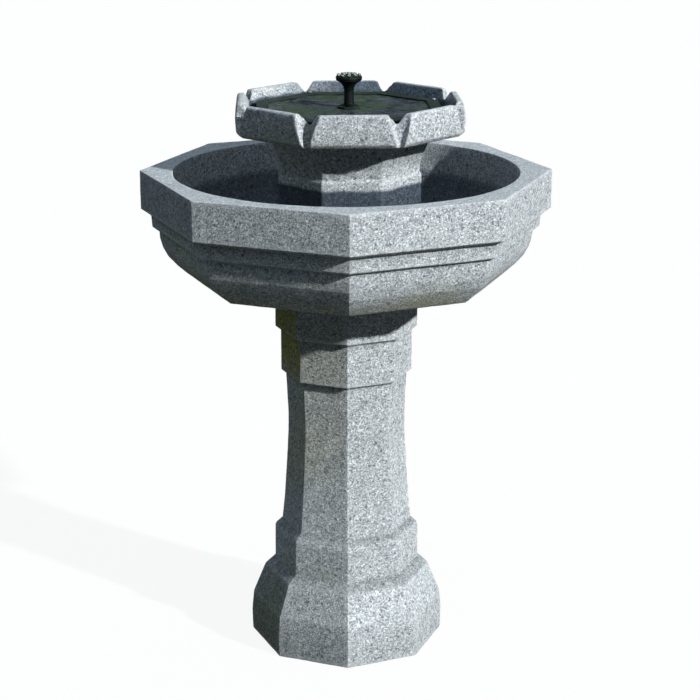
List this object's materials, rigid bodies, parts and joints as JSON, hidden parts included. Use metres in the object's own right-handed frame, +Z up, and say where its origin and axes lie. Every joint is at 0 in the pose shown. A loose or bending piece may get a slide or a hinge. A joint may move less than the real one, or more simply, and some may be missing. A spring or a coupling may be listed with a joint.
{
  "type": "solar fountain with submersible pump",
  "caption": "Two-tier octagonal garden fountain of cast stone with a solar submersible pump unit: panel tray, riser, nozzle and strainer.",
  "frame": {"origin": "middle of the pedestal's footprint, on the surface it stands on", "axes": "+Z up; -Y is the front, where one corner of the bowl and the pedestal points"},
  "size_m": [0.55, 0.55, 0.7945],
  "materials": {
    "cast_stone": "speckled blue-grey granite look, coarse cast surface",
    "black_plastic": "fine moulded texture",
    "grey_plastic": "moulded",
    "white_plastic": "moulded",
    "black_rubber": "satin",
    "clear_window": "clear and glossy",
    "solar_cell": "dark blue silicon under a glossy coat",
    "circuit_board": "solder resist",
    "ferrite": "sintered",
    "stainless_steel": "satin",
    "enamelled_copper": "enamelled winding wire",
    "ceramic": "ground"
  },
  "bodies": {
    "pedestal": {"pedestal": "cast_stone"},
    "bowl": {"bowl": "cast_stone"},
    "upper_tier": {"upper_tier": "cast_stone"},
    "pump_unit": {"back_cover_screw_1": "stainless_steel", "back_cover_screw_2": "stainless_steel", "back_cover_screw_3": "stainless_steel", "back_cover_screw_4": "stainless_steel", "basin_seal": "black_rubber", "bezel_screw_1": "stainless_steel", "bezel_screw_2": "stainless_steel", "bezel_screw_3": "stainless_steel", "bezel_screw_4": "stainless_steel", "chamber_seal": "black_rubber", "driver_board": "circuit_board", "driver_capacitor": "stainless_steel", "driver_chip": "ferrite", "driver_inductor": "ferrite", "front_bush": "black_rubber", "hub_nut": "black_plastic", "impeller_chamber": "black_plastic", "impeller_shaft": "ceramic", "junction_lid": "black_plastic", "motor_back_cover": "black_plastic", "motor_board": "circuit_board", "motor_housing": "black_plastic", "panel_bezel": "black_plastic", "panel_strain_relief": "black_rubber", "panel_tray": "black_plastic", "panel_window": "clear_window", "pump_cable": "black_rubber", "pump_strain_relief": "black_rubber", "rear_bush": "black_rubber", "riser_lower": "black_plastic", "riser_nut": "black_plastic", "riser_seal": "black_rubber", "riser_sleeve": "black_plastic", "riser_upper": "black_plastic", "solar_board": "circuit_board", "solar_cells": "solar_cell", "stator_coil_1": "enamelled_copper", "stator_coil_2": "enamelled_copper", "stator_coil_3": "enamelled_copper", "stator_coil_4": "enamelled_copper", "stator_core": "stainless_steel", "suction_cup_1": "black_rubber", "suction_cup_2": "black_rubber", "suction_cup_3": "black_rubber", "suction_cup_4": "black_rubber", "window_gasket": "black_rubber"},
    "nozzle": {"nozzle_body": "black_plastic", "nozzle_rose": "black_plastic"},
    "impeller_rotor": {"impeller": "white_plastic", "rotor_magnet": "ferrite"},
    "strainer": {"inlet_strainer": "black_plastic"},
    "regulator": {"flow_regulator": "grey_plastic", "regulator_clip": "stainless_steel"}
  },
  "joints": [
    {"name": "bowl_lift", "type": "slide", "parent": "pedestal", "child": "bowl", "axis": [0, 0, 1], "range_m": [0, 0.12]},
    {"name": "tier_lift", "type": "slide", "parent": "bowl", "child": "upper_tier", "axis": [0, 0, 1], "range_m": [0, 0.15]},
    {"name": "unit_lift", "type": "slide", "parent": "upper_tier", "child": "pump_unit", "axis": [0, 0, 1], "range_m": [0, 0.2]},
    {"name": "nozzle_pull", "type": "slide", "parent": "pump_unit", "child": "nozzle", "axis": [0, 0, 1], "range_m": [0, 0.03]},
    {"name": "impeller_spin", "type": "hinge", "parent": "pump_unit", "child": "impeller_rotor", "pos_m": [0.0035, 0, 0.56], "axis": [0, -1, 0], "continuous": true},
    {"name": "strainer_pull", "type": "slide", "parent": "pump_unit", "child": "strainer", "axis": [0, -1, 0], "range_m": [0, 0.03]},
    {"name": "flow_control", "type": "hinge", "parent": "strainer", "child": "regulator", "pos_m": [0.0035, -0.0283, 0.56], "axis": [0, -1, 0], "range_deg": [0, 90]}
  ]
}
